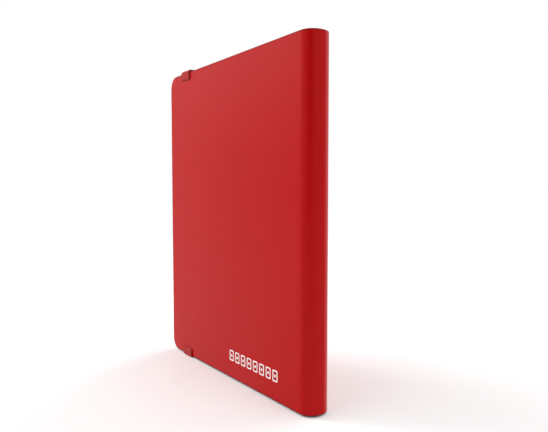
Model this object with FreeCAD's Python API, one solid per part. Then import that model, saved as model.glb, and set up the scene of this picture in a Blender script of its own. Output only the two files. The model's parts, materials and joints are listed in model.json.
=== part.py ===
import FreeCAD, Part

import math
import os

# A nine-pocket trading card album, standing upright and held shut by an elastic strap.
# Millimetres. X runs from the fore-edge (-X) to the spine (+X), Y from the back cover (-Y) to
# the front cover (+Y), and Z up. The origin is under the middle of the album, at the underside
# of the strap where it passes below the covers.

# ---------------------------------------------------------------- driving dimensions
# Card pockets and pages
POCKET_WIDTH = 72.0        # one pocket along X; a sleeved 63 x 88 mm card goes in sideways
POCKET_HEIGHT = 98.0       # one pocket along Z
POCKETS_ACROSS = 3
POCKETS_UP = 3
PAGE_COUNT = 20
PAGE_MARGIN = 3.0          # bare sheet outside the pockets, at the fore-edge, top and bottom
PAGE_FLANGE = 13.0         # bare sheet between the fold and the first column of pockets
PAGE_CORNER = 5.0          # radius of a page's two outer corners
PAGE_SHEET = 0.25          # black backing sheet
FILM = 0.1                 # clear pocket film
WELD = 2.0                 # width of the welds that close a pocket
COLUMN_GAP = 1.0           # open mouth left between two columns of pockets
PAGE_GAP = 0.2             # air between the pockets of neighbouring pages

# Covers and spine, folded from one sheet
ALBUM_THICKNESS = 27.0     # over both covers
COVER_SHEET = 1.5
COVER_CORNER = 13.0        # radius of the covers' fore-edge corners
CREASE_GAP = 0.3           # the scored line between a cover and the spine
COVER_TO_PAGES = 1.2       # air between a cover and the space of the outermost page
FORE_OVERHANG = 8.0        # cover past the pages at the fore-edge
END_OVERHANG = 10.0        # cover past the pages at the top and at the bottom
CROWN_FLAT = 2.6           # flat strip along the middle of the rounded spine
SPINE_LIP = 1.8            # flat of the spine between a crease and its rounding

# Binding inside the spine
FOLD_INSET = 2.0           # from the covers' creases to the line on which the pages fold
FOLD_GAP = 0.3             # free sheet between a page's fold and the clamped stack
LINER_WALL = 0.3           # liner left between the stack's corner and the spine
LINER_WEB = 0.8            # liner behind the stack

# Elastic strap and its anchors
STRAP_WIDTH = 18.0
STRAP_THICKNESS = 1.2
STRAP_INSET = 39.0         # from the fore-edge to the strap's centre line
STRAP_GAP = 0.3            # to the covers' faces and bottom edges
STRAP_TOP_LIFT = 1.6       # under the strap where it bridges the covers' top edges
STRAP_TOP_BEND = 1.8       # inner radius of the strap's bends at the top
STRAP_BOTTOM_BEND = 0.4    # inner radius of the strap's bends at the bottom
STRAP_SPLIT = 0.3          # between the strap's fixed ends and its moving run
SLOT_FROM_EDGE = 7.5       # from the back cover's edge to the middle of a strap slot
SLOT_CLEARANCE = 0.2       # round the strap in its slot, except at the slot's ends
SLOT_END_CLEARANCE = 0.5
FOOT_SETBACK = 1.8         # the strap's fixed underside stops this far short of the front face
BAR_OVERLAP = 3.0          # anchor bar past each side of the strap
BAR_HEIGHT = 4.5
BAR_DEPTH = 2.0
BAR_TO_PAGES = 0.5         # between an anchor bar and the ends of the pages

# ---------------------------------------------------------------- sizes that follow
HALF_T = ALBUM_THICKNESS / 2
INNER_HALF_T = HALF_T - COVER_SHEET
PAGE_WIDTH = PAGE_FLANGE + POCKETS_ACROSS * POCKET_WIDTH + PAGE_MARGIN
PAGE_HEIGHT = POCKETS_UP * POCKET_HEIGHT + 2 * PAGE_MARGIN
COVER_HEIGHT = PAGE_HEIGHT + 2 * END_OVERHANG
SPINE_RADIUS = (ALBUM_THICKNESS - CROWN_FLAT) / 2
SPINE_DEPTH = SPINE_LIP + SPINE_RADIUS
ALBUM_WIDTH = FORE_OVERHANG + PAGE_WIDTH + FOLD_INSET + SPINE_DEPTH

FORE_X = -ALBUM_WIDTH / 2
CROWN_X = ALBUM_WIDTH / 2
CREASE_X = CROWN_X - SPINE_DEPTH
FOLD_X = CREASE_X - FOLD_INSET
LIP_X = CREASE_X + CREASE_GAP / 2
ROUND_X = CROWN_X - SPINE_RADIUS

COVER_BOTTOM = STRAP_THICKNESS + STRAP_GAP
COVER_TOP = COVER_BOTTOM + COVER_HEIGHT
PAGE_BOTTOM = COVER_BOTTOM + END_OVERHANG
PAGE_TOP = PAGE_BOTTOM + PAGE_HEIGHT

PAGE_PITCH = 2 * (INNER_HALF_T - COVER_TO_PAGES) / PAGE_COUNT
POCKET_DEPTH = (PAGE_PITCH - PAGE_GAP - PAGE_SHEET) / 2
SPACER = PAGE_PITCH - PAGE_SHEET
STACK_HALF = (PAGE_COUNT * PAGE_SHEET + (PAGE_COUNT + 1) * SPACER) / 2
STACK_X = FOLD_X + FOLD_GAP
# The stack is as deep as the rounded spine allows: its back corners stop LINER_WALL inside it.
INNER_RADIUS = SPINE_RADIUS - COVER_SHEET
STACK_BACK_X = ROUND_X + math.sqrt((INNER_RADIUS - LINER_WALL) ** 2 - (STACK_HALF - CROWN_FLAT / 2) ** 2)

STRAP_X = FORE_X + STRAP_INSET
STRAP_LOW_X = STRAP_X - STRAP_WIDTH / 2
STRAP_INNER_Y = HALF_T + STRAP_GAP
STRAP_OUTER_Y = STRAP_INNER_Y + STRAP_THICKNESS
STRAP_TOP = COVER_TOP + STRAP_TOP_LIFT + STRAP_THICKNESS
SLOT_LOW_Z = COVER_BOTTOM + SLOT_FROM_EDGE
SLOT_HIGH_Z = COVER_TOP - SLOT_FROM_EDGE


def vector(x, y, z):
    return FreeCAD.Vector(x, y, z)


def block(low, high):
    """A box between two corners."""
    size = [b - a for a, b in zip(low, high)]
    return Part.makeBox(*size, vector(*low))


def save(name, shape):
    shape.exportStep(os.path.join("parts", name + ".step"))


def page_y(number):
    """The middle plane of page 1 to PAGE_COUNT, counted from the front cover."""
    return ((PAGE_COUNT + 1) / 2 - number) * PAGE_PITCH


def round_fore_corners(panel, radius):
    """Rounds the two corners at the panel's -X end."""
    low_x = panel.BoundBox.XMin
    corners = [e for e in panel.Edges if e.BoundBox.XMax < low_x + radius and e.BoundBox.ZLength < radius]
    return panel.makeFillet(radius, corners)


def cover_panel(inner_y, outer_y):
    low_y, high_y = sorted((inner_y, outer_y))
    low = (FORE_X, low_y, COVER_BOTTOM)
    high = (CREASE_X - CREASE_GAP / 2, high_y, COVER_TOP)
    return round_fore_corners(block(low, high), COVER_CORNER)


def strap_slot(z):
    """The round-ended slot through the back cover that a strap end goes through."""
    half_height = STRAP_THICKNESS / 2 + SLOT_CLEARANCE
    half_width = STRAP_WIDTH / 2 + SLOT_END_CLEARANCE
    low = (STRAP_X - half_width, -HALF_T, z - half_height)
    high = (STRAP_X + half_width, -INNER_HALF_T, z + half_height)
    slot = block(low, high)
    for x in (low[0], high[0]):
        slot = slot.fuse(Part.makeCylinder(half_height, COVER_SHEET, vector(x, -HALF_T, z), vector(0, 1, 0)))
    return slot.removeSplitter()


def back_cover():
    panel = cover_panel(-INNER_HALF_T, -HALF_T)
    for z in (SLOT_LOW_Z, SLOT_HIGH_Z):
        panel = panel.cut(strap_slot(z))
    return panel


def front_cover():
    return cover_panel(INNER_HALF_T, HALF_T)


def arc(centre_x, centre_y, radius, start, end, z):
    """An arc's edge, seen from above, between two angles in degrees."""
    middle = math.radians((start + end) / 2)
    angles = (math.radians(start), middle, math.radians(end))
    points = [vector(centre_x + radius * math.cos(a), centre_y + radius * math.sin(a), z) for a in angles]
    return Part.Arc(*points).toShape()


def half_round(half_width, radius, low_z, high_z):
    """A solid bar with the spine's section: flat at the creases, with two rounded shoulders."""
    crown = ROUND_X + radius
    flat = CROWN_FLAT / 2
    corners = [
        (vector(crown, flat, low_z), vector(crown, -flat, low_z)),
        (vector(ROUND_X, -half_width, low_z), vector(LIP_X, -half_width, low_z)),
        (vector(LIP_X, -half_width, low_z), vector(LIP_X, half_width, low_z)),
        (vector(LIP_X, half_width, low_z), vector(ROUND_X, half_width, low_z)),
    ]
    lines = [Part.LineSegment(a, b).toShape() for a, b in corners]
    shoulders = [
        arc(ROUND_X, flat, radius, 90, 0, low_z),
        arc(ROUND_X, -flat, radius, 0, -90, low_z),
    ]
    outline = Part.Wire(Part.__sortEdges__(lines + shoulders))
    return Part.Face(outline).extrude(vector(0, 0, high_z - low_z))


def spine():
    outside = half_round(HALF_T, SPINE_RADIUS, COVER_BOTTOM, COVER_TOP)
    return outside.cut(half_round(INNER_HALF_T, INNER_RADIUS, COVER_BOTTOM, COVER_TOP))


def spine_liner():
    """The channel welded into the spine, which grips the stack of page edges."""
    room = half_round(INNER_HALF_T, INNER_RADIUS, PAGE_BOTTOM, PAGE_TOP)
    kept = block((LIP_X, -HALF_T, PAGE_BOTTOM), (STACK_BACK_X + LINER_WEB, HALF_T, PAGE_TOP))
    stack = block((STACK_X, -STACK_HALF, PAGE_BOTTOM), (STACK_BACK_X, STACK_HALF, PAGE_TOP))
    return room.common(kept).cut(stack)


def stack_strip(low_y, high_y):
    return block((STACK_X, low_y, PAGE_BOTTOM), (STACK_BACK_X, high_y, PAGE_TOP))


def page_stubs():
    """The clamped inner edge of each page sheet."""
    planes = [page_y(n) for n in range(1, PAGE_COUNT + 1)]
    return Part.makeCompound([stack_strip(y - PAGE_SHEET / 2, y + PAGE_SHEET / 2) for y in planes])


def spacer_strips():
    """The strips between the page edges, and one outside each end of the stack."""
    lows = [page_y(n) + PAGE_SHEET / 2 for n in range(PAGE_COUNT, 0, -1)]
    lows.insert(0, -STACK_HALF)
    return Part.makeCompound([stack_strip(y, y + SPACER) for y in lows])


def page_sheet(y):
    low = (FOLD_X - PAGE_WIDTH, y - PAGE_SHEET / 2, PAGE_BOTTOM)
    high = (FOLD_X, y + PAGE_SHEET / 2, PAGE_TOP)
    return round_fore_corners(block(low, high), PAGE_CORNER)


def pocket_strip(column, face_y, side):
    """One column of pockets on one side of a page: a film, welded down, open towards the spine."""
    low_x = FOLD_X - PAGE_WIDTH + PAGE_MARGIN + column * POCKET_WIDTH
    high_x = low_x + POCKET_WIDTH - COLUMN_GAP
    low_z = PAGE_BOTTOM + PAGE_MARGIN
    film_low, film_high = sorted((face_y, face_y + side * POCKET_DEPTH))
    air_low, air_high = sorted((face_y, face_y + side * (POCKET_DEPTH - FILM)))
    strip = block((low_x, film_low, low_z), (high_x, film_high, PAGE_TOP - PAGE_MARGIN))
    for row in range(POCKETS_UP):
        floor = low_z + row * POCKET_HEIGHT + WELD / 2
        ceiling = low_z + (row + 1) * POCKET_HEIGHT - WELD / 2
        strip = strip.cut(block((low_x + WELD, air_low, floor), (high_x, air_high, ceiling)))
    return strip


def page_pockets(y):
    strips = []
    for side in (-1, 1):
        for column in range(POCKETS_ACROSS):
            strips.append(pocket_strip(column, y + side * PAGE_SHEET / 2, side))
    return Part.makeCompound(strips)


def strap_section(half_y, low_z, high_z, low_bend, high_bend):
    """A closed bar across the strap's width, with rounded corners in the YZ plane."""
    low = (STRAP_LOW_X, -half_y, low_z)
    high = (STRAP_LOW_X + STRAP_WIDTH, half_y, high_z)
    bar = block(low, high)
    middle = (low_z + high_z) / 2
    long_edges = [e for e in bar.Edges if e.BoundBox.XLength > STRAP_WIDTH / 2]
    bar = bar.makeFillet(low_bend, [e for e in long_edges if e.BoundBox.ZMax < middle])
    long_edges = [e for e in bar.Edges if e.BoundBox.XLength > STRAP_WIDTH / 2]
    edge_z = high_z - min(high_bend, STRAP_THICKNESS) / 2
    return bar.makeFillet(high_bend, [e for e in long_edges if e.BoundBox.ZMin > edge_z])


def strap_loop():
    """The whole closed loop that the strap makes round the shut album."""
    outer = strap_section(
        STRAP_OUTER_Y, 0, STRAP_TOP, STRAP_BOTTOM_BEND + STRAP_THICKNESS, STRAP_TOP_BEND + STRAP_THICKNESS
    )
    inner = strap_section(
        STRAP_INNER_Y, STRAP_THICKNESS, STRAP_TOP - STRAP_THICKNESS, STRAP_BOTTOM_BEND, STRAP_TOP_BEND
    )
    return outer.cut(inner)


def strap_piece(loop, low_y, high_y, low_z, high_z):
    """The part of the loop inside a box, which spans the strap's width."""
    low = (STRAP_LOW_X, low_y, low_z)
    high = (STRAP_LOW_X + STRAP_WIDTH, high_y, high_z)
    return loop.common(block(low, high))


def elastic_band(loop):
    """The run that is pulled off: over the top, down the front cover and round its lower edge."""
    over_top = strap_piece(loop, -STRAP_OUTER_Y, 0, COVER_TOP + STRAP_SPLIT, STRAP_TOP)
    end_y = HALF_T - FOOT_SETBACK + STRAP_SPLIT
    down_front = strap_piece(loop, 0, STRAP_OUTER_Y, COVER_TOP, STRAP_TOP)
    front_run = strap_piece(loop, end_y, STRAP_OUTER_Y, 0, COVER_TOP)
    return over_top.fuse(down_front).fuse(front_run).removeSplitter()


def elastic_foot(loop):
    """The strap's underside, on which the album stands."""
    return strap_piece(loop, -STRAP_OUTER_Y, HALF_T - FOOT_SETBACK, 0, COVER_BOTTOM)


def strap_tongue(z):
    """The strap's end, through the back cover's slot and its anchor bar."""
    low = (STRAP_LOW_X, -STRAP_OUTER_Y, z - STRAP_THICKNESS / 2)
    high = (STRAP_LOW_X + STRAP_WIDTH, -INNER_HALF_T + BAR_DEPTH, z + STRAP_THICKNESS / 2)
    return block(low, high)


def elastic_tail(loop, slot_z, edge_z):
    """The short run on the back cover between a slot and the edge that the strap goes round."""
    away = math.copysign(STRAP_THICKNESS / 2, slot_z - edge_z)
    low_z, high_z = sorted((edge_z, slot_z + away))
    run = strap_piece(loop, -STRAP_OUTER_Y, -STRAP_INNER_Y, low_z, high_z)
    return run.fuse(strap_tongue(slot_z)).removeSplitter()


def anchor_bar(page_end_z, slot_z):
    """The bar behind a slot that the strap's end is fixed in."""
    up = math.copysign(1, slot_z - page_end_z)
    low_z, high_z = sorted((page_end_z + up * BAR_TO_PAGES, page_end_z + up * (BAR_TO_PAGES + BAR_HEIGHT)))
    half_width = STRAP_WIDTH / 2 + BAR_OVERLAP
    low = (STRAP_X - half_width, -INNER_HALF_T, low_z)
    high = (STRAP_X + half_width, -INNER_HALF_T + BAR_DEPTH, high_z)
    return block(low, high).cut(strap_tongue(slot_z))


def main():
    os.makedirs("parts", exist_ok=True)
    save("back_cover", back_cover())
    save("front_cover", front_cover())
    save("spine", spine())
    save("spine_liner", spine_liner())
    save("page_stubs", page_stubs())
    save("spacer_strips", spacer_strips())
    for number in range(1, PAGE_COUNT + 1):
        save(f"page_{number:02d}", page_sheet(page_y(number)))
        save(f"pockets_{number:02d}", page_pockets(page_y(number)))
    loop = strap_loop()
    save("elastic_band", elastic_band(loop))
    save("elastic_foot", elastic_foot(loop))
    save("elastic_tail_top", elastic_tail(loop, SLOT_HIGH_Z, COVER_TOP))
    save("elastic_tail_bottom", elastic_tail(loop, SLOT_LOW_Z, COVER_BOTTOM))
    save("anchor_bar_top", anchor_bar(PAGE_TOP, SLOT_HIGH_Z))
    save("anchor_bar_bottom", anchor_bar(PAGE_BOTTOM, SLOT_LOW_Z))


main()
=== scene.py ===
# %% [markdown]
# # A trading card album that stands shut
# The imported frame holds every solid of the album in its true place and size, in metres. This lesson
# keeps the page sheets and their binding from it. It remakes what the eye rests on, which is the
# folded cover, the elastic strap, its anchors and the clear pockets, and adds a printed ornament.
# Loading the frame comes first, because the places and main sizes below are read from it.

# %% Load the frame
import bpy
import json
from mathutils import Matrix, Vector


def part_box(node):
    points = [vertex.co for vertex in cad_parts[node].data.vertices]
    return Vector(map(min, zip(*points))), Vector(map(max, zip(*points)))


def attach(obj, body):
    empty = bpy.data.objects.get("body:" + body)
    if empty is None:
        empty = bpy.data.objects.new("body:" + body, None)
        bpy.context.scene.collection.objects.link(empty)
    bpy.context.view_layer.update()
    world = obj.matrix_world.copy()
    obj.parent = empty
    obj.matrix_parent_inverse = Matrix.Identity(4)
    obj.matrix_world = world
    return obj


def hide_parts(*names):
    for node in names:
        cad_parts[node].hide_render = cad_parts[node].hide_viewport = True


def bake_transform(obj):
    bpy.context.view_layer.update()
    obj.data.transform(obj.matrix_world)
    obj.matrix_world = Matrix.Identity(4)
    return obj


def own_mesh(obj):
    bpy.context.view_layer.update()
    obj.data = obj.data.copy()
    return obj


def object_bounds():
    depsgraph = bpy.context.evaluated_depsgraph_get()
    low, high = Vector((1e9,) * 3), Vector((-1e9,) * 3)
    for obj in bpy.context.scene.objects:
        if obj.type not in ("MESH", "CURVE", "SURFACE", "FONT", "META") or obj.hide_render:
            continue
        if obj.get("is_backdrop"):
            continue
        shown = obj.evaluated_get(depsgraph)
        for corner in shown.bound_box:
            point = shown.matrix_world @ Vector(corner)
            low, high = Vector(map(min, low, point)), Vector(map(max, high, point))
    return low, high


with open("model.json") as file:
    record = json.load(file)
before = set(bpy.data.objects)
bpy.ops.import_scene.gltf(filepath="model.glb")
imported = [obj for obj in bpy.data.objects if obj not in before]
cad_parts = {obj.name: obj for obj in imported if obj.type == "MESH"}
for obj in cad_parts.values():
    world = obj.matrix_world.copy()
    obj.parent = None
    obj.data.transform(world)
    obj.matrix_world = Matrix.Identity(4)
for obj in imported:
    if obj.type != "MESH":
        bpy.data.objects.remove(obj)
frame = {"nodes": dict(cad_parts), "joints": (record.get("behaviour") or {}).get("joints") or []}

# %% [markdown]
# ## Reading sizes from the frame
# The album stands upright: X runs from the fore-edge to the spine, Y from the back cover to the
# front cover, and Z up. The covers' thickness and the place of their creases could be typed in
# again, but a size that is read can't disagree with the part. The whole box is kept for the end.

# %% Measures taken from the frame
import json
import math

import bmesh
import bpy
from mathutils import Matrix, Vector

MM = 0.001
cad_box = [list(corner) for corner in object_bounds()]
joints = {joint["name"]: joint for joint in frame["joints"]}
back_low, back_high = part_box("back_cover")
spine_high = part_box("spine")[1]
sheet = back_high.y - back_low.y
half_thick = spine_high.y
crease_x = joints["back_cover_hinge"]["pos_m"][0]
middle_z = (back_low.z + back_high.z) / 2
print("cover sheet", round(sheet / MM, 2), "mm, crease at x", round(crease_x / MM, 2), "mm")

# %% [markdown]
# ## Working by hand, in code
# Every piece starts as a primitive, is shaped in edit mode and is finished by modifiers. An
# operator acts on all that is selected, and loading leaves every node selected, so each step starts
# by selecting nothing. Two more helpers choose one piece, and open it for editing.

# %% Choosing and editing
def clear_selection():
    if bpy.context.object and bpy.context.object.mode != "OBJECT":
        bpy.ops.object.mode_set(mode="OBJECT")
    bpy.ops.object.select_all(action="DESELECT")


def choose(piece):
    clear_selection()
    bpy.context.view_layer.objects.active = piece
    piece.select_set(True)


def edit(piece):
    choose(piece)
    bpy.ops.object.mode_set(mode="EDIT")
    bpy.ops.mesh.select_mode(type="VERT")
    bpy.ops.mesh.select_all(action="DESELECT")


print("selected after loading:", len(bpy.context.selected_objects))
clear_selection()
print("selected after clearing:", len(bpy.context.selected_objects))

# %% [markdown]
# ## A single upright face
# Both covers, the strap and the pockets are sheets that stand upright, so they all begin as one
# plane turned to face the back (-Y) or the front (+Y), at its real size and place. Its place is
# applied at once, so the object itself stays at the origin, unturned and unscaled. A small trial
# face shows which way the front of such a plane looks.

# %% An upright plane
def upright_face(name, low_x, high_x, low_z, high_z, y, towards=-1):
    clear_selection()
    middle = ((low_x + high_x) / 2, y, (low_z + high_z) / 2)
    upright = (-towards * math.pi / 2, 0, 0)
    bpy.ops.mesh.primitive_plane_add(size=1, location=middle, rotation=upright)
    face = bpy.context.object
    face.name = name
    face.scale = (high_x - low_x, high_z - low_z, 1)
    bpy.ops.object.transform_apply(location=True, rotation=True, scale=True)
    return face


trial = upright_face("trial", 0, MM, 0, MM, 0)
print("the trial face looks towards y =", round(trial.data.polygons[0].normal.y))
bpy.data.objects.remove(trial)

# %% [markdown]
# ## Picking by place
# By hand one would click on the corners of a sheet. In code a vertex is picked by a test of where
# it is, which still holds when a size changes. Extrude then pulls new edges out of what is picked,
# and spin sweeps them round an axis, which is how a flat sheet gets its rounded folds.

# %% Picking, extruding and turning
def pick(piece, wanted):
    """Selects the vertices whose place passes the test, and says how many there are."""
    bpy.ops.mesh.select_mode(type="VERT")
    bpy.ops.mesh.select_all(action="DESELECT")
    mesh = bmesh.from_edit_mesh(piece.data)
    picked = [vertex for vertex in mesh.verts if wanted(vertex.co)]
    for vertex in picked:
        vertex.select_set(True)
    mesh.select_flush_mode()
    bmesh.update_edit_mesh(piece.data)
    return len(picked)


def extrude(x=0.0, y=0.0, z=0.0):
    bpy.ops.mesh.extrude_region_move(TRANSFORM_OT_translate={"value": (x, y, z)})


def turn(degrees, center, axis, steps):
    """Sweeps the picked edge round an axis, anticlockwise when the axis points at the eye."""
    bpy.ops.mesh.spin(steps=steps, angle=-math.radians(degrees), center=center, axis=axis)


trial = upright_face("trial", 0, MM, 0, MM, 0)
edit(trial)
print("corners picked on the trial's right side:", pick(trial, lambda co: co.x > MM / 2))
clear_selection()
bpy.data.objects.remove(trial)

# %% [markdown]
# ## The flat panels of the cover
# The real cover is one plastic sheet: two flat panels joined by a half-round spine through two
# scored creases. Each panel's fore-edge corners are rounded by a vertex bevel. Then narrow columns
# are extruded across the crease, because a fold needs several columns of faces to bend smoothly.

# %% Two cover panels with divided creases
CORNER = 13.0 * MM
CORNER_STEPS = 16
CREASE_HALF = 1.4 * MM
CREASE_STEPS = 7
NEAR = 0.05 * MM


def cover_panel(name, towards):
    """The flat panel of a cover, up to the far side of its crease, left open for editing."""
    y = towards * half_thick
    end_x = crease_x - CREASE_HALF
    panel = upright_face(name, back_low.x, end_x, back_low.z, back_high.z, y, towards)
    edit(panel)
    pick(panel, lambda co: co.x < back_low.x + NEAR)
    bpy.ops.mesh.bevel(affect="VERTICES", offset=CORNER, segments=CORNER_STEPS)
    pick(panel, lambda co: co.x > end_x - NEAR)
    for _ in range(CREASE_STEPS):
        extrude(x=2 * CREASE_HALF / CREASE_STEPS)
    return panel


front_sheet = cover_panel("front_cover_panel", 1)
back_sheet = cover_panel("back_cover_and_spine", -1)
clear_selection()
for piece in (front_sheet, back_sheet):
    print(piece.name, "has", len(piece.data.polygons), "faces so far")

# %% [markdown]
# ## The rounded spine
# The back panel and the spine are made as one piece, so that light runs unbroken round the
# shoulder. From the crease the edge is pulled out flat, spun a quarter turn, pulled across the flat
# crown and spun once more, and it ends where the front panel begins. A spin can turn a shape inside
# out, so the normals are made to agree and checked at one known place before the sheet gets its
# thickness.

# %% Spine curve and sheet thickness
CROWN_FLAT = 2.6 * MM
SHOULDER_STEPS = 16
DOUBLES = 0.001 * MM
shoulder = half_thick - CROWN_FLAT / 2
shoulder_x = spine_high.x - shoulder


def agree_normals(piece, outside, outwards):
    """Merges doubles and points the normals outwards, as judged at the face nearest a place."""
    bpy.ops.mesh.select_mode(type="VERT")
    bpy.ops.mesh.select_all(action="SELECT")
    bpy.ops.mesh.remove_doubles(threshold=DOUBLES)
    bpy.ops.mesh.normals_make_consistent(inside=False)
    mesh = bmesh.from_edit_mesh(piece.data)
    probe = min(mesh.faces, key=lambda face: (face.calc_center_median() - Vector(outside)).length)
    if probe.normal.dot(Vector(outwards)) < 0:
        bpy.ops.mesh.flip_normals()


edit(back_sheet)
pick(back_sheet, lambda co: co.x > crease_x + CREASE_HALF - NEAR)
extrude(x=shoulder_x - crease_x - CREASE_HALF)
turn(90, (shoulder_x, -CROWN_FLAT / 2, 0), (0, 0, 1), SHOULDER_STEPS)
extrude(y=CROWN_FLAT)
turn(90, (shoulder_x, CROWN_FLAT / 2, 0), (0, 0, 1), SHOULDER_STEPS)
extrude(x=crease_x + CREASE_HALF - shoulder_x)
print("radius of each shoulder", round(shoulder / MM, 2), "mm")

# %% [markdown]
# ## Modifiers, applied
# A modifier finishes a shape that would be slow to edit by hand. Here Solidify grows the sheet
# inwards by its real thickness. It is applied straight away, so that later steps can pick the inner
# vertices too.

# %% Thicken the covers
def apply_modifier(piece, kind, **settings):
    choose(piece)
    modifier = piece.modifiers.new(kind.lower(), kind)
    for name, value in settings.items():
        setattr(modifier, name, value)
    bpy.ops.object.modifier_apply(modifier=modifier.name)


def count(piece):
    print(piece.name, "has", len(piece.data.polygons), "faces")


for piece, towards in ((back_sheet, -1), (front_sheet, 1)):
    edit(piece)
    agree_normals(piece, (0, towards * half_thick, middle_z), (0, towards, 0))
    apply_modifier(piece, "SOLIDIFY", thickness=sheet, offset=-1, use_even_offset=True)
    count(piece)

# %% [markdown]
# ## The strap slots
# Each end of the strap goes through a round-ended slot in the back cover. A slot could be drawn as
# a hole in the first face, but cutting it is simpler: the cutter is a bar, made from a cylinder
# laid along Y whose right half is pulled sideways.

# %% Cut the slots
strap_low, strap_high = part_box("elastic_foot")
top_tail_low, top_tail_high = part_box("elastic_tail_top")
low_tail_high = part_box("elastic_tail_bottom")[1]
STRAP_THICK = 1.2 * MM
SLOT_HALF = 0.8 * MM
SLOT_MARGIN = 0.5 * MM
SLOT_SIDES = 24
CUTTER_DEPTH = 4 * sheet
slot_z = {1: top_tail_low.z + STRAP_THICK / 2, -1: low_tail_high.z - STRAP_THICK / 2}
strap_width = strap_high.x - strap_low.x
slot_length = strap_width + 2 * SLOT_MARGIN
for z in slot_z.values():
    clear_selection()
    start = (strap_low.x - SLOT_MARGIN, -half_thick + sheet / 2, z)
    bpy.ops.mesh.primitive_cylinder_add(
        vertices=SLOT_SIDES,
        radius=SLOT_HALF,
        depth=CUTTER_DEPTH,
        location=start,
        rotation=(math.pi / 2, 0, 0),
    )
    cutter = bpy.context.object
    bpy.ops.object.transform_apply(location=True, rotation=True, scale=True)
    edit(cutter)
    pick(cutter, lambda co: co.x > start[0] + NEAR)
    bpy.ops.transform.translate(value=(slot_length, 0, 0))
    apply_modifier(back_sheet, "BOOLEAN", object=cutter, operation="DIFFERENCE", solver="EXACT")
    bpy.data.objects.remove(cutter)
count(back_sheet)

# %% [markdown]
# ## Cut edges and creases
# A die-cut sheet has slightly rounded edges, and a crease is a groove scored on the inside. A bevel
# limited by angle rounds only the rims. Then the inner vertices along each fold line are pushed
# outwards in two steps, which leaves a V-shaped score. Weighted normals keep the flat panels flat
# in the light beside the small bevels.

# %% Round the rims and score the creases
RIM = 0.35 * MM
RIM_STEPS = 3
RIM_ANGLE = math.radians(50)
SCORE_REACHES = (0.7 * MM, 0.3 * MM)
SCORE_STEP = 0.4 * MM
inner_face = half_thick - sheet + RIM


def round_sharp_edges(piece, width, steps, angle):
    """Bevels the edges that bend by more than an angle."""
    limits = {"limit_method": "ANGLE", "angle_limit": angle}
    apply_modifier(piece, "BEVEL", width=width, segments=steps, **limits)


def near_crease(reach, towards):
    """A test for the inner vertices of a cover that are within reach of its fold line."""
    deepest = inner_face + NEAR + SCORE_STEP
    return lambda co: abs(co.x - crease_x) < reach and 0 < co.y * towards < deepest


for piece, towards in ((back_sheet, -1), (front_sheet, 1)):
    round_sharp_edges(piece, RIM, RIM_STEPS, RIM_ANGLE)
    edit(piece)
    for reach in SCORE_REACHES:
        moved = pick(piece, near_crease(reach, towards))
        bpy.ops.transform.translate(value=(0, towards * SCORE_STEP, 0))
        print(moved, "vertices pushed into the crease of", piece.name)
    choose(piece)
    bpy.ops.object.shade_smooth()
    apply_modifier(piece, "WEIGHTED_NORMAL", weight=100, keep_sharp=True)
    count(piece)

# %% [markdown]
# ## The covers in place
# The frame turns each panel about the outside of its crease, and a rigid panel would tear away from
# the spine there. Here the covers' places are baked into their meshes, and the frame's covers and
# spine are hidden.

# %% Bake the covers and hide the frame's
for piece, body, towards in ((back_sheet, "back_cover", -1), (front_sheet, "front_cover", 1)):
    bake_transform(piece)
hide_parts("back_cover", "spine")
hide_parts("front_cover")

# %% [markdown]
# ## The elastic strap
# The strap is a flat knitted band with nine ribs along it. Its line is drawn by extruding and
# turning one edge round the album: over the top, down the front cover and back under the bottom.
# The first edge is divided into narrow columns, so that every fourth line between them can later be
# sunk, which leaves the ribs standing.

# %% Strap's edge, runs and bends
RIBS = 9
COLUMNS_PER_RIB = 4
STRAP_GAP = 0.3 * MM
BEND_STEPS = 6
strap_inner_y = half_thick + STRAP_GAP


def strap_edge(name, y, z):
    """One edge across the strap, divided into columns, ready to extrude."""
    strip = upright_face(name, strap_low.x, strap_high.x, z, z + MM, y)
    edit(strip)
    pick(strip, lambda co: co.z > z + MM / 2)
    bpy.ops.mesh.delete(type="VERT")
    pick(strip, lambda co: True)
    bpy.ops.mesh.subdivide(number_cuts=RIBS * COLUMNS_PER_RIB - 1)
    return strip


def run(steps, y=0.0, z=0.0):
    """A straight stretch in equal steps."""
    for _ in range(steps):
        extrude(y=y / steps, z=z / steps)


def bend(degrees, y, z):
    """A bend about an axis along X."""
    turn(degrees, (0, y, z), (1, 0, 0), BEND_STEPS)


print("each of the", RIBS, "ribs is", round(strap_width / RIBS / MM, 1), "mm wide")

# %% [markdown]
# The strip is finished the same way for the loop and for its two tails. It gets its thickness, the
# lines between the ribs are sunk along their normals, and the cut ends are squared. Squared ends
# matter, because the tails and the loop meet end to end.

# %% Finish of a strap piece
RIB_DEPTH = 0.12 * MM
END_REACH = 0.15 * MM
STRAP_SMOOTH = math.radians(50)


def finish_strap(strip, outside, outwards, end_heights):
    agree_normals(strip, outside, outwards)
    apply_modifier(strip, "SOLIDIFY", thickness=STRAP_THICK, offset=1, use_even_offset=True)
    edit(strip)
    for rib in range(RIBS + 1):
        groove_x = strap_low.x + rib * strap_width / RIBS
        pick(strip, lambda co: abs(co.x - groove_x) < NEAR)
        bpy.ops.transform.shrink_fatten(value=-RIB_DEPTH)
    for height in end_heights:
        pick(strip, lambda co: abs(co.z - height) < END_REACH and co.y < -half_thick)
        bpy.ops.transform.resize(value=(1, 1, 0), center_override=(0, 0, height))
    choose(strip)
    bpy.ops.object.shade_smooth_by_angle(angle=STRAP_SMOOTH)
    count(strip)


print("grooves", RIB_DEPTH / MM, "mm deep in a strap of", round(STRAP_THICK / MM, 2), "mm")

# %% [markdown]
# ## The strap's loop
# The loop starts at the back top bend and ends at the back bottom bend. It stands a little off the
# top edges, where the stretched band bridges the two covers, and lies close under the bottom. A
# short straight run at each end keeps the thickness square where a tail meets it.

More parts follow.
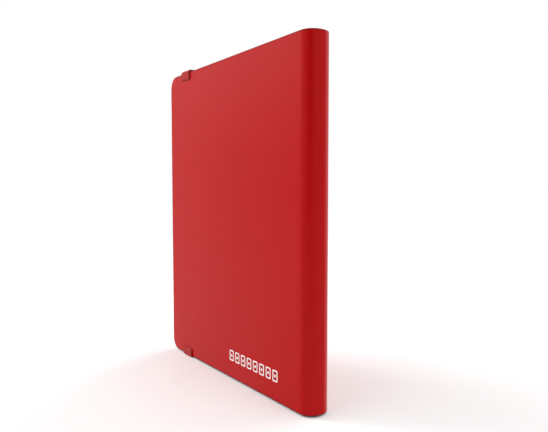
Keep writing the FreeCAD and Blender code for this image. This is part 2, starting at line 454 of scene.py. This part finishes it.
# %% Draw the loop
TOP_BEND = 1.8 * MM
LOW_BEND = 0.4 * MM
STRAIGHT = 0.5 * MM
FRONT_STEPS = 40
WRAP_STEPS = 6
band_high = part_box("elastic_band")[1]
loop_top = band_high.z - STRAP_THICK - TOP_BEND
loop_low = STRAP_THICK + LOW_BEND
meeting = {1: loop_top - STRAIGHT, -1: loop_low + STRAIGHT}
strap_loop = strap_edge("elastic_strap", -strap_inner_y, meeting[1])
run(1, z=STRAIGHT)
bend(-90, -strap_inner_y + TOP_BEND, loop_top)
run(WRAP_STEPS, y=2 * (strap_inner_y - TOP_BEND))
bend(-90, strap_inner_y - TOP_BEND, loop_top)
run(FRONT_STEPS, z=loop_low - loop_top)
bend(-90, strap_inner_y - LOW_BEND, loop_low)
run(WRAP_STEPS, y=-2 * (strap_inner_y - LOW_BEND))
bend(-90, -strap_inner_y + LOW_BEND, loop_low)
run(1, z=STRAIGHT)
finish_strap(strap_loop, (strap_low.x, strap_inner_y, middle_z), (0, 1, 0), meeting.values())

# %% [markdown]
# ## The strap's tails
# Each tail starts inside the cover as a tongue, comes out through its slot, bends once and runs to
# the loop. The tails are separate pieces, because they stay in the slots while the loop is pulled
# away. One loop draws both, with the bottom one upside down.

# %% Draw the tails
TONGUE_BEND = 0.3 * MM
TONGUE_SETBACK = 0.15 * MM
TONGUE_STEPS = 2
TAIL_STEPS = 10
tongue_end_y = top_tail_high.y - TONGUE_SETBACK
tails = {}
for up, ending in ((1, "top"), (-1, "bottom")):
    inner_z = slot_z[up] + up * STRAP_THICK / 2
    tails[up] = strap_edge(f"elastic_tail_end_{ending}", tongue_end_y, inner_z)
    run(TONGUE_STEPS, y=-half_thick - tongue_end_y)
    bend(-90 * up, -half_thick, inner_z + up * TONGUE_BEND)
    run(TAIL_STEPS, z=meeting[up] - inner_z - up * TONGUE_BEND)
    outside = (strap_low.x, -strap_inner_y, (inner_z + meeting[up]) / 2)
    finish_strap(tails[up], outside, (0, -1, 0), (meeting[up],))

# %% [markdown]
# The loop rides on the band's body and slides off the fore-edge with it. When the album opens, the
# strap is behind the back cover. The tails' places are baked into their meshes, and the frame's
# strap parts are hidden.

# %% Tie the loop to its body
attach(strap_loop, "elastic_band")
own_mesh(strap_loop)
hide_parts("elastic_band", "elastic_foot")
strap_x = (strap_low.x + strap_high.x) / 2
for up, ending in ((1, "top"), (-1, "bottom")):
    start = (strap_x, -strap_inner_y, slot_z[up] + up * STRAP_THICK / 2)
    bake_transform(tails[up])
    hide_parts(f"elastic_tail_{ending}")

# %% [markdown]
# ## The anchor bars
# Behind each slot a small moulded bar holds the strap's end. It starts as a block at its real size.
# A bevel of the four edges that run along Y rounds its outline. The face towards the pages is inset
# and pushed in as a shallow dish, and a small bevel softens the sharp edges that are left.

# %% Moulded bars
BAR_END = 1.4 * MM
BAR_END_STEPS = 6
DISH_MARGIN = 0.8 * MM
DISH_DEPTH = 0.35 * MM
SOFT_EDGE = 0.2 * MM
SOFT_STEPS = 2
SOFT_ANGLE = math.radians(40)
BAR_SMOOTH = math.radians(35)
bars = []
for ending in ("top", "bottom"):
    low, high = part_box(f"anchor_bar_{ending}")
    clear_selection()
    bpy.ops.mesh.primitive_cube_add(size=1, location=(low + high) / 2)
    bar = bpy.context.object
    bar.name = f"strap_anchor_{ending}"
    bar.scale = high - low
    bpy.ops.object.transform_apply(location=True, rotation=True, scale=True)
    edit(bar)
    bpy.ops.mesh.select_mode(type="EDGE")
    mesh = bmesh.from_edit_mesh(bar.data)
    for side in mesh.edges:
        if abs(side.verts[0].co.y - side.verts[1].co.y) > MM:
            side.select_set(True)
    bmesh.update_edit_mesh(bar.data)
    bpy.ops.mesh.bevel(offset=BAR_END, segments=BAR_END_STEPS)
    pick(bar, lambda co: co.y > high.y - NEAR)
    bpy.ops.mesh.inset(thickness=DISH_MARGIN)
    bpy.ops.transform.translate(value=(0, -DISH_DEPTH, 0))
    round_sharp_edges(bar, SOFT_EDGE, SOFT_STEPS, SOFT_ANGLE)
    bpy.ops.object.shade_smooth_by_angle(angle=BAR_SMOOTH)
    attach(bar, "back_cover")
    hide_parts(f"anchor_bar_{ending}")
    bars.append(bar)
    count(bar)

# %% [markdown]
# ## Making finishes from nodes
# A finish is a small network of nodes. Every pattern here reads Object coordinates, which are in
# metres, so a scale of 1000 means detail a millimetre apart, and nothing slides when a piece moves.
# The first helpers make a material, add a node to it, set its inputs and join two sockets.

# %% Nodes and links
def finish(name):
    material = bpy.data.materials.new(name)
    material.use_nodes = True
    return material


def set_inputs(target, **inputs):
    """Sets plain inputs of a node, whose names are given with _ for a space."""
    for key, value in inputs.items():
        target.inputs[key.replace("_", " ")].default_value = value


def node(material, kind, **inputs):
    made = material.node_tree.nodes.new(kind)
    set_inputs(made, **inputs)
    return made


def link(material, source, target):
    material.node_tree.links.new(source, target)


def shader_of(material):
    return material.node_tree.nodes["Principled BSDF"]


def place(material):
    return node(material, "ShaderNodeTexCoord").outputs["Object"]


def place_along(material, axis):
    parts = node(material, "ShaderNodeSeparateXYZ")
    link(material, place(material), parts.inputs["Vector"])
    return parts.outputs[axis]


trial = finish("trial")
print("a new material's shader has", len(shader_of(trial).inputs), "sockets")
bpy.data.materials.remove(trial)

# %% [markdown]
# The next helpers make patterns. Noise is the base of most real surfaces. Its values crowd about
# the middle, so spread stretches that middle over the range that is wanted, mix turns a pattern
# into a colour, and calculate does arithmetic on two patterns.

# %% Patterns
NOISE_MIDDLE = (0.35, 0.65)
WHOLE_WAVE = (-1.0, 1.0)


def noise(material, scale, detail=3.0, roughness=0.5):
    made = node(material, "ShaderNodeTexNoise", Scale=scale, Detail=detail, Roughness=roughness)
    link(material, place(material), made.inputs["Vector"])
    return made.outputs["Fac"]


def spread(material, value, start=0.0, end=1.0, reach=NOISE_MIDDLE):
    """Maps the values within reach onto the range from start to end."""
    made = node(material, "ShaderNodeMapRange", To_Min=start, To_Max=end)
    set_inputs(made, From_Min=reach[0], From_Max=reach[1])
    link(material, value, made.inputs["Value"])
    return made.outputs["Result"]


def mix(material, share, first, second):
    """A colour between two, each a colour or another node's output."""
    made = material.node_tree.nodes.new("ShaderNodeMix")
    made.data_type = "RGBA"
    link(material, share, made.inputs["Factor"])
    for socket, colour in (("A", first), ("B", second)):
        target = [s for s in made.inputs if s.name == socket and s.type == "RGBA"][0]
        if isinstance(colour, tuple):
            target.default_value = (*colour, 1)
        else:
            link(material, colour, target)
    return [s for s in made.outputs if s.type == "RGBA"][0]


def calculate(material, operation, first, second=0.0):
    made = material.node_tree.nodes.new("ShaderNodeMath")
    made.operation = operation
    for socket, value in zip(made.inputs, (first, second)):
        if isinstance(value, (int, float)):
            socket.default_value = value
        else:
            link(material, value, socket)
    return made.outputs["Value"]


def wave(material, position, length):
    """A sine wave of the given length along a position."""
    return calculate(material, "SINE", calculate(material, "MULTIPLY", position, math.tau / length))


print("noise values from", NOISE_MIDDLE[0], "to", NOISE_MIDDLE[1], "are spread over each range")

# %% [markdown]
# The last helpers put patterns on the shader: a colour, a range of roughness and a bump, which can
# lie on an earlier one. Relief that is deep enough to show at an edge is modelled instead.

# %% Colour, gloss and bumps
def paint(material, pattern, first, second, reach=NOISE_MIDDLE):
    """Colours the surface between two colours by a pattern."""
    colour = mix(material, spread(material, pattern, reach=reach), first, second)
    link(material, colour, shader_of(material).inputs["Base Color"])


def gloss(material, pattern, low, high):
    """Lets the roughness wander between two values."""
    roughness = spread(material, pattern, start=low, end=high)
    link(material, roughness, shader_of(material).inputs["Roughness"])


def bump(material, pattern, strength, depth):
    """Adds a bump, its depth in metres, on top of any that the shader has."""
    made = node(material, "ShaderNodeBump", Strength=strength, Distance=depth)
    link(material, pattern, made.inputs["Height"])
    normal = shader_of(material).inputs["Normal"]
    for earlier in normal.links:
        link(material, earlier.from_socket, made.inputs["Normal"])
    link(material, made.outputs["Normal"], normal)


def describe(material):
    print(material.name, "has", len(material.node_tree.nodes), "nodes")


trial = finish("trial")
paint(trial, noise(trial, scale=1.0), (0, 0, 0), (1, 1, 1))
describe(trial)
bpy.data.materials.remove(trial)

# %% [markdown]
# ### Cover
# The cover is a satin red plastic with a fine pressed grain. A Voronoi pattern makes the grain and
# a finer noise lies on it, slow noise drifts the red a little, and the roughness wanders within a
# narrow range, so the sheen stays soft and even. The rims get a painted shade, a darker red in
# uneven patches, so a mask is built from the distance to the nearest rim.

# %% Cover finish
DEEP_RED = (0.43, 0.0006, 0.0008)
SECOND_RED = (0.44, 0.0009, 0.0011)
# Painted shade along the rims: its darker red, how far it reaches, and the least of it that noise
# leaves.
RIM_SHADE_RED = (0.12, 0.0008, 0.0012)
RIM_SHADE_WIDTH = 1.2 * MM
RIM_SHADE_LEAST = 0.5
COVER_SPECULAR = 0.22


def rim_shade_mask(material, width):
    """Painted rim shade: 1 along the top, bottom and fore-edge rims, broken up by noise, 0 elsewhere.
    """
    height = place_along(material, "Z")
    from_low = calculate(material, "SUBTRACT", height, back_low.z)
    from_high = calculate(material, "SUBTRACT", back_high.z, height)
    from_fore = calculate(material, "SUBTRACT", place_along(material, "X"), back_low.x)
    nearest = calculate(material, "MINIMUM", from_low, from_high)
    nearest = calculate(material, "MINIMUM", nearest, from_fore)
    rim = spread(material, nearest, start=1.0, end=0.0, reach=(width / 3, width))
    # Noise breaks the painted shade into uneven patches.
    broken_up = spread(material, noise(material, scale=350), start=RIM_SHADE_LEAST)
    return calculate(material, "MULTIPLY", rim, broken_up)


cover = finish("satin_red_cover")
grain = node(cover, "ShaderNodeTexVoronoi", Scale=1500.0, Randomness=1.0)
link(cover, place(cover), grain.inputs["Vector"])
drift = spread(cover, noise(cover, scale=22, detail=4.0))
red = mix(cover, drift, DEEP_RED, SECOND_RED)
# A painted shade darkens the rims.
rim_shaded_red = mix(cover, rim_shade_mask(cover, RIM_SHADE_WIDTH), red, RIM_SHADE_RED)
link(cover, rim_shaded_red, shader_of(cover).inputs["Base Color"])
gloss(cover, noise(cover, scale=90), low=0.36, high=0.385)
set_inputs(shader_of(cover), Specular_IOR_Level=COVER_SPECULAR)
bump(cover, grain.outputs["Distance"], strength=0.25, depth=0.06 * MM)
bump(cover, noise(cover, scale=4200, detail=4.0, roughness=0.6), strength=0.2, depth=0.03 * MM)
describe(cover)

# %% [markdown]
# ### Elastic
# The strap is knitted: fine wales run along it and short weft threads cross them. Two waves make
# the threads. The one along the strap follows its path, which turns from Z to Y where it wraps, so
# the sum of both is used. Fine noise adds the fuzz and a dusty, paler tone.

# %% Elastic finish
WALE = 0.55 * MM
WEFT = 0.8 * MM
THREAD_SHADE = (0.30, 0.008, 0.008)
THREAD_LIGHT = (0.46, 0.024, 0.022)
DUST = (0.48, 0.070, 0.062)
MOST_DUST = 0.2
elastic = finish("woven_red_elastic")
along = calculate(elastic, "ADD", place_along(elastic, "Z"), place_along(elastic, "Y"))
wales = wave(elastic, place_along(elastic, "X"), WALE)
weave = calculate(elastic, "MULTIPLY", wales, wave(elastic, along, WEFT))
threads = spread(elastic, weave, reach=WHOLE_WAVE)
fuzz = noise(elastic, scale=2500, detail=5.0, roughness=0.7)
thread_red = mix(elastic, threads, THREAD_SHADE, THREAD_LIGHT)
dusty = mix(elastic, spread(elastic, fuzz, end=MOST_DUST), thread_red, DUST)
link(elastic, dusty, shader_of(elastic).inputs["Base Color"])
gloss(elastic, fuzz, low=0.65, high=0.85)
bump(elastic, threads, strength=0.5, depth=0.12 * MM)
bump(elastic, fuzz, strength=0.3, depth=0.05 * MM)
describe(elastic)

# %% [markdown]
# ### Page sheets
# The page sheets are matt black plastic with a faint sand grain. Real black is never quite black,
# so slow noise moves between two very dark greys.

# %% Page finish
PAGE_BLACK = (0.010, 0.010, 0.011)
SECOND_BLACK = (0.017, 0.017, 0.019)
page_black = finish("matt_black_page")
paint(page_black, noise(page_black, scale=60, detail=4.0), PAGE_BLACK, SECOND_BLACK)
gloss(page_black, noise(page_black, scale=300), low=0.48, high=0.6)
sand = noise(page_black, scale=3000, roughness=0.6)
bump(page_black, sand, strength=0.3, depth=0.04 * MM)
describe(page_black)

# %% [markdown]
# ### Binding
# The strips between the clamped pages and the liner behind them are cut from a coarser black
# plastic, a little greyer and duller than the pages, so that the binding can be told from them.

# %% Binding finish
BINDING_BLACK = (0.014, 0.014, 0.015)
BINDING_GREY = (0.028, 0.028, 0.030)
binding_black = finish("black_binding_plastic")
paint(binding_black, noise(binding_black, scale=120, detail=4.0), BINDING_BLACK, BINDING_GREY)
gloss(binding_black, noise(binding_black, scale=500), low=0.5, high=0.7)
coarse = noise(binding_black, scale=1800, detail=4.0, roughness=0.6)
bump(binding_black, coarse, strength=0.35, depth=0.06 * MM)
describe(binding_black)

# %% [markdown]
# ### Moulded anchors
# The anchor bars are moulded in a darker red than the sheet, with the tight, uneven shine of an
# injection moulding.

# %% Anchor finish
ANCHOR_DARK = (0.25, 0.006, 0.006)
ANCHOR_LIGHT = (0.32, 0.012, 0.011)
anchor_red = finish("moulded_red_anchor")
paint(anchor_red, noise(anchor_red, scale=400), ANCHOR_DARK, ANCHOR_LIGHT)
gloss(anchor_red, noise(anchor_red, scale=900), low=0.35, high=0.5)
pitting = noise(anchor_red, scale=3500, roughness=0.6)
bump(anchor_red, pitting, strength=0.25, depth=0.04 * MM)
describe(anchor_red)

# %% [markdown]
# ### Clear film
# The film is clear and glossy. It could be a transmissive glass, which costs light bounces at each
# of its many layers. Here it is a partly see-through surface instead. A low alpha is clearer but
# renders with more grain, and a high one hides the sheet, so this is between the two. Its base is a
# dark grey, its roughness is low for its shine, and slow ripples break up the highlights.

# %% Film finish
FILM_ALPHA = 0.6
FILM_SPECULAR = 0.5
FILM_GREY = (0.058, 0.060, 0.063)
SCUFFED_GREY = (0.070, 0.073, 0.077)
clear_film = finish("clear_pocket_film")
scuffs = noise(clear_film, scale=260)
paint(clear_film, scuffs, FILM_GREY, SCUFFED_GREY)
gloss(clear_film, scuffs, low=0.09, high=0.13)
set_inputs(shader_of(clear_film), Alpha=FILM_ALPHA, Specular_IOR_Level=FILM_SPECULAR)
ripples = noise(clear_film, scale=18, detail=1.0)
bump(clear_film, ripples, strength=0.2, depth=2.0 * MM)
describe(clear_film)

# %% [markdown]
# ### Welded film
# A weld is pressed by a heated tool with a fine knurl, which leaves the film milky and dimpled. The
# product of one wave across and one upwards makes the dimples.

# %% Weld finish
KNURL = 1.0 * MM
WELD_ALPHA = 0.5
WELD_GREY = (0.16, 0.16, 0.17)
WELD_MILKY = (0.42, 0.43, 0.45)
welded_film = finish("welded_film_edge")
across = wave(welded_film, place_along(welded_film, "X"), KNURL)
upwards = wave(welded_film, place_along(welded_film, "Z"), KNURL)
knurl = calculate(welded_film, "MULTIPLY", across, upwards)
paint(welded_film, knurl, WELD_GREY, WELD_MILKY, reach=WHOLE_WAVE)
gloss(welded_film, noise(welded_film, scale=900), low=0.28, high=0.42)
set_inputs(shader_of(welded_film), Alpha=WELD_ALPHA)
bump(welded_film, knurl, strength=0.5, depth=0.06 * MM)
describe(welded_film)

# %% [markdown]
# ## The clear pockets
# Each side of a page carries three columns of film, and each column has three pockets that open
# towards the spine. A column is one face, drawn a border too wide, cut into three and given an
# inset border, which is the weld. Trimming off the extra width then leaves the mouth unwelded.

# %% One column: cut, weld and trim
POCKETS_UP = 3
COLUMNS = 3
FILM = 0.1 * MM
WELD = 1.6 * MM
COLUMN_GAP = 1.0 * MM
CLEAR_SLOT, WELDED_SLOT = 0, 1
page_low, page_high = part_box("page_01")
pocket_low, pocket_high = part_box("pockets_01")
page_y = (page_low.y + page_high.y) / 2
film_y = page_low.y - FILM
pocket_height = (pocket_high.z - pocket_low.z) / POCKETS_UP
column_pitch = (pocket_high.x - pocket_low.x + COLUMN_GAP) / COLUMNS
mouth_x = pocket_low.x + column_pitch - COLUMN_GAP
column = upright_face(
    "pocket_film", pocket_low.x, mouth_x + WELD, pocket_low.z, pocket_high.z, film_y
)
column.data.materials.append(clear_film)
column.data.materials.append(welded_film)
edit(column)
for row in range(1, POCKETS_UP):
    bpy.ops.mesh.select_all(action="SELECT")
    cut_z = pocket_low.z + row * pocket_height
    bpy.ops.mesh.bisect(plane_co=(0, film_y, cut_z), plane_no=(0, 0, 1))
bpy.ops.mesh.select_mode(type="FACE")
bpy.ops.mesh.select_all(action="SELECT")
column.active_material_index = WELDED_SLOT
bpy.ops.object.material_slot_assign()
bpy.ops.mesh.inset(thickness=WELD, use_individual=True)
column.active_material_index = CLEAR_SLOT
bpy.ops.object.material_slot_assign()
bpy.ops.mesh.select_all(action="SELECT")
bpy.ops.mesh.bisect(plane_co=(mouth_x, film_y, 0), plane_no=(1, 0, 0), clear_outer=True)
print("pockets", round(pocket_height / MM, 1), "mm high with welds", round(WELD / MM, 1), "mm wide")

# %% [markdown]
# An empty pocket is never quite flat. Each clear face is inset and raised in three steps, which
# gives it a low crown. The insets ignore the open side, so the steps run out at the mouth and the
# film stands open there.

# %% One column: raise the pockets
CROWN_STEPS = ((0.6 * MM, 0.1 * MM), (5.0 * MM, 0.06 * MM), (12.0 * MM, 0.02 * MM))
FILM_SMOOTH = math.radians(30)
bpy.ops.mesh.select_all(action="DESELECT")
bpy.ops.object.material_slot_select()
for margin, rise in CROWN_STEPS:
    bpy.ops.mesh.inset(thickness=margin, use_boundary=False)
    bpy.ops.transform.translate(value=(0, -rise, 0))
apply_modifier(column, "SOLIDIFY", thickness=FILM, offset=-1)
bpy.ops.object.shade_smooth_by_angle(angle=FILM_SMOOTH)
count(column)

# %% [markdown]
# ## Filling the album with pockets
# What repeats is modelled once and copied. The column's copies stand side by side, and half a turn
# about a line along X puts the same three on the other side of the sheet, with their mouths still
# towards the spine. All six are joined, and every page gets its own copy of them.

# %% Six columns for one page
def copy_of(piece, name, move=(0, 0, 0)):
    """A copy with a mesh of its own, moved in its mesh."""
    twin = piece.copy()
    twin.data = piece.data.copy()
    twin.name = name
    bpy.context.scene.collection.objects.link(twin)
    twin.data.transform(Matrix.Translation(move))
    return twin


def join(pieces, name):
    clear_selection()
    for piece in pieces:
        piece.select_set(True)
    bpy.context.view_layer.objects.active = pieces[0]
    bpy.ops.object.join()
    pieces[0].name = name
    return pieces[0]


shifts = [(index * column_pitch, 0, 0) for index in range(COLUMNS)]
back_side = join([copy_of(column, "pocket_film", shift) for shift in shifts], "pocket_film_back")
front_side = copy_of(back_side, "pocket_film_front")
page_middle = Vector((0, page_y, (pocket_low.z + pocket_high.z) / 2))
half_turn = Matrix.Rotation(math.pi, 4, "X")
to_page, from_page = Matrix.Translation(page_middle), Matrix.Translation(-page_middle)
front_side.data.transform(to_page @ half_turn @ from_page)
first_pockets = join([back_side, front_side], "first_pockets")
count(first_pockets)

# %% [markdown]
# The copies are moved in their meshes to the pages that they belong to, and ride on them, so that
# they turn with them.

# %% Pockets for every page
page_names = [name for name in frame["nodes"] if name.startswith("page_")]
page_names = sorted(name for name in page_names if name[-2:].isdigit())
for name in page_names:
    number = name[-2:]
    low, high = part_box(name)
    shift = (0, (low.y + high.y) / 2 - page_y, 0)
    pockets = copy_of(first_pockets, f"clear_pockets_{number}", shift)
    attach(pockets, name)
    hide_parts(f"pockets_{number}")
for spare in (column, first_pockets):
    bpy.data.objects.remove(spare)
print(len(page_names), "pages with", 2 * COLUMNS * POCKETS_UP, "pockets each")

# %% [markdown]
# ## Giving out the finishes
# The page sheets, their clamped edges, the spacer strips and the liner keep the frame's own shapes.
# They only get a better finish, in the same way as the new pieces do.

# %% Dress the pieces and the kept nodes
def dress(pieces, material):
    for piece in pieces:
        piece.data.materials.clear()
        piece.data.materials.append(material)
    print(material.name, "on", len(pieces), "pieces")


def kept(names):
    return [frame["nodes"][name] for name in names]


dress([back_sheet, front_sheet], cover)
dress([strap_loop, *tails.values()], elastic)
dress(bars, anchor_red)
dress(kept(page_names + ["page_stubs"]), page_black)
dress(kept(["spine_liner", "spacer_strips"]), binding_black)

# %% [markdown]
# ## The printed ornament
# A white print sits low on the back cover, near the spine: a plain row of card outlines, each with
# a diamond. The ink is screen printed, so its white and its shine are both slightly uneven.

# %% Ink finish
THIN_INK = (0.80, 0.80, 0.79)
FULL_INK = (0.92, 0.92, 0.91)
ink_white = finish("white_print")
paint(ink_white, noise(ink_white, scale=900, detail=5.0), THIN_INK, FULL_INK)
gloss(ink_white, noise(ink_white, scale=2000), low=0.35, high=0.5)
ink_grain = noise(ink_white, scale=4200, detail=4.0, roughness=0.6)
bump(ink_white, ink_grain, strength=0.2, depth=0.03 * MM)
describe(ink_white)

# %% [markdown]
# One card is a face whose corners are bevelled and whose middle is taken out by an inset. A circle
# of only four points is the diamond. Both are joined and copied along the row. A print has almost
# no thickness, but a solid needs some, so this one is 0.05 mm thick and a hair off the sheet.

# %% A row of printed cards
CARDS = 8
CARD_WIDTH = 7.6 * MM
CARD_HEIGHT = 10.6 * MM
CARD_PITCH = 10.6 * MM
CARD_CORNER = 1.3 * MM
CARD_CORNER_STEPS = 5
STROKE = 1.25 * MM
DIAMOND = 1.6 * MM
DIAMOND_SIDES = 4
INK = 0.05 * MM
PRINT_GAP = 0.01 * MM
PRINT_FROM_CREASE = 111.5 * MM
PRINT_FROM_BOTTOM = 17.4 * MM
print_left = crease_x - PRINT_FROM_CREASE
print_bottom = back_low.z + PRINT_FROM_BOTTOM
print_y = -half_thick - PRINT_GAP
print_right = print_left + CARD_WIDTH
print_top = print_bottom + CARD_HEIGHT
print_middle = (print_left + CARD_WIDTH / 2, print_y, print_bottom + CARD_HEIGHT / 2)
card = upright_face("card", print_left, print_right, print_bottom, print_top, print_y)
edit(card)
bpy.ops.mesh.select_all(action="SELECT")
bpy.ops.mesh.bevel(affect="VERTICES", offset=CARD_CORNER, segments=CARD_CORNER_STEPS)
bpy.ops.mesh.select_mode(type="FACE")
bpy.ops.mesh.select_all(action="SELECT")
bpy.ops.mesh.inset(thickness=STROKE)
bpy.ops.mesh.delete(type="FACE")
clear_selection()
bpy.ops.mesh.primitive_circle_add(
    vertices=DIAMOND_SIDES,
    radius=DIAMOND,
    fill_type="NGON",
    location=print_middle,
    rotation=(math.pi / 2, 0, 0),
)
bpy.ops.object.transform_apply(location=True, rotation=True, scale=True)
card = join([card, bpy.context.object], "card")
row = [copy_of(card, "card", (index * CARD_PITCH, 0, 0)) for index in range(1, CARDS)]
ornament = join([card, *row], "printed_card_row")
apply_modifier(ornament, "SOLIDIFY", thickness=INK, offset=1)
dress([ornament], ink_white)
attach(ornament, "back_cover")
count(ornament)

# %% [markdown]
# ## Floor
# The album stands on a plain pale floor in a white studio. A square floor would end in a horizon
# line. This one is a large disc whose surface fades out towards its rim, so that it melts into the
# white backdrop. Reflections don't see it, so it adds nothing to the gloss. It casts no shadow
# either, because two of the light panels reach below it and it would cut part of their light off.

# %% Fading floor
FLOOR_RADIUS = 2.4
FLOOR_SIDES = 96
FLOOR_FADE = (0.7, 1.9)
FLOOR_WHITE = (0.93, 0.93, 0.93)
SECOND_WHITE = (0.94, 0.94, 0.94)
FLOOR_ROUGHNESS = 0.9
clear_selection()
bpy.ops.mesh.primitive_circle_add(vertices=FLOOR_SIDES, radius=FLOOR_RADIUS, fill_type="NGON")
floor = bpy.context.object
floor.name = "studio_floor"
floor_white = finish("pale_floor")
pale = mix(floor_white, noise(floor_white, scale=3), FLOOR_WHITE, SECOND_WHITE)
link(floor_white, pale, shader_of(floor_white).inputs["Base Color"])
set_inputs(shader_of(floor_white), Roughness=FLOOR_ROUGHNESS, Specular_IOR_Level=0.0)
away = node(floor_white, "ShaderNodeVectorMath")
away.operation = "LENGTH"
link(floor_white, place(floor_white), away.inputs[0])
fade = spread(floor_white, away.outputs["Value"], start=1.0, end=0.0, reach=FLOOR_FADE)
link(floor_white, fade, shader_of(floor_white).inputs["Alpha"])
dress([floor], floor_white)
floor.visible_glossy = False
floor.visible_shadow = False
floor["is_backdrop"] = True

# %% [markdown]
# ## Light
# Soft panels stand all round and overhead and light matt surfaces only. What the gloss sees is set
# by two tall panels that only reflections meet: one beyond the fore-edge and one beyond the front.
# The dark gap between them is mirrored in the shoulder of the spine and keeps it a deep red. Light
# that is split in this way can be tuned without upsetting the shine.

# %% Light panels
# Each row: name, place, width and height in metres, power in watts, seen by the gloss only.
PANELS = (
    ("back_side_light", (-0.5, -2.2, 1.2), (3.0, 2.4), 32, False),
    ("spine_side_light", (2.2, 0.3, 1.2), (3.0, 2.4), 36, False),
    ("front_side_light", (0.0, 2.2, 1.2), (3.0, 2.4), 60, False),
    ("fore_edge_light", (-2.2, 0.0, 1.2), (3.0, 2.4), 20, False),
    ("overhead_light", (0.0, 0.0, 2.6), (3.0, 3.0), 22, False),
    ("upper_left_light", (-1.3, -0.9, 1.0), (0.9, 0.9), 21, False),
    ("fore_edge_sheen", (-3.0, 0.1, 0.4), (5.4, 5.0), 58, True),
    ("rear_sheen", (-0.6, 3.0, 0.4), (4.6, 5.0), 80, True),
)
AIM = Vector((0, 0, 0.2))
for name, where, (width, height), power, gloss_only in PANELS:
    clear_selection()
    bpy.ops.object.light_add(type="AREA", location=where)
    panel = bpy.context.object
    panel.name = name
    panel.data.shape = "RECTANGLE"
    panel.data.size = width
    panel.data.size_y = height
    panel.data.energy = power
    panel.visible_glossy = gloss_only
    panel.visible_diffuse = not gloss_only
    panel.rotation_euler = (AIM - Vector(where)).to_track_quat("-Z", "Y").to_euler()
    print(name, "gives", power, "W to", "the gloss" if gloss_only else "matt surfaces")

# %% [markdown]
# ## Backdrop
# The white backdrop is the world, but a white world would also wash out the reds. Its strength is
# taken from the kind of ray, so only the camera sees it and it lights nothing.

# %% World
world = bpy.data.worlds.new("studio")
bpy.context.scene.world = world
world.use_nodes = True
backdrop = world.node_tree.nodes["Background"]
backdrop.inputs["Color"].default_value = (1, 1, 1, 1)
ray = world.node_tree.nodes.new("ShaderNodeLightPath")
world.node_tree.links.new(ray.outputs["Is Camera Ray"], backdrop.inputs["Strength"])
print("world", world.name, "is white to the camera and dark to the rest")

# %% [markdown]
# ## Camera
# The camera stands low and close at the corner of the spine and the back cover, turned well away
# from square, so that the cover runs off into the distance. It looks slightly downwards, and a
# small shift of the lens sets the album's height in the frame. The Standard view keeps the reds as
# they are mixed.

# %% Camera
YAW = math.radians(54.08)
PITCH = math.radians(3.121)
EYE = Vector((465.66, -293.6, 191.8)) * MM
SENSOR = 36.0
FOCAL_SHARE = 0.98505
UPWARD_SHIFT = 0.0045
NEAREST = 0.01
FARTHEST = 100
clear_selection()
bpy.ops.object.camera_add(location=EYE)
camera = bpy.context.object
level = math.cos(PITCH)
ahead = Vector((-math.sin(YAW) * level, math.cos(YAW) * level, -math.sin(PITCH)))
camera.rotation_euler = ahead.to_track_quat("-Z", "Y").to_euler()
camera.data.sensor_width = SENSOR
camera.data.lens = FOCAL_SHARE * SENSOR
camera.data.shift_y = UPWARD_SHIFT
camera.data.clip_start = NEAREST
camera.data.clip_end = FARTHEST
bpy.context.scene.camera = camera
bpy.context.scene.view_settings.view_transform = "Standard"
print("lens", round(camera.data.lens, 2), "mm,", round(EYE.length, 3), "m from the origin")

# %% [markdown]
# The box of the part and the box of the finished pieces are printed side by side. The finished
# pieces have to keep to the box of the part.

# %% Print the boxes
visual_box = [list(corner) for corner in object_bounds()]
for label, box in (("part", cad_box), ("visual", visual_box)):
    print(label, "sides", [round((high - low) / MM, 2) for low, high in zip(*box)], "mm")
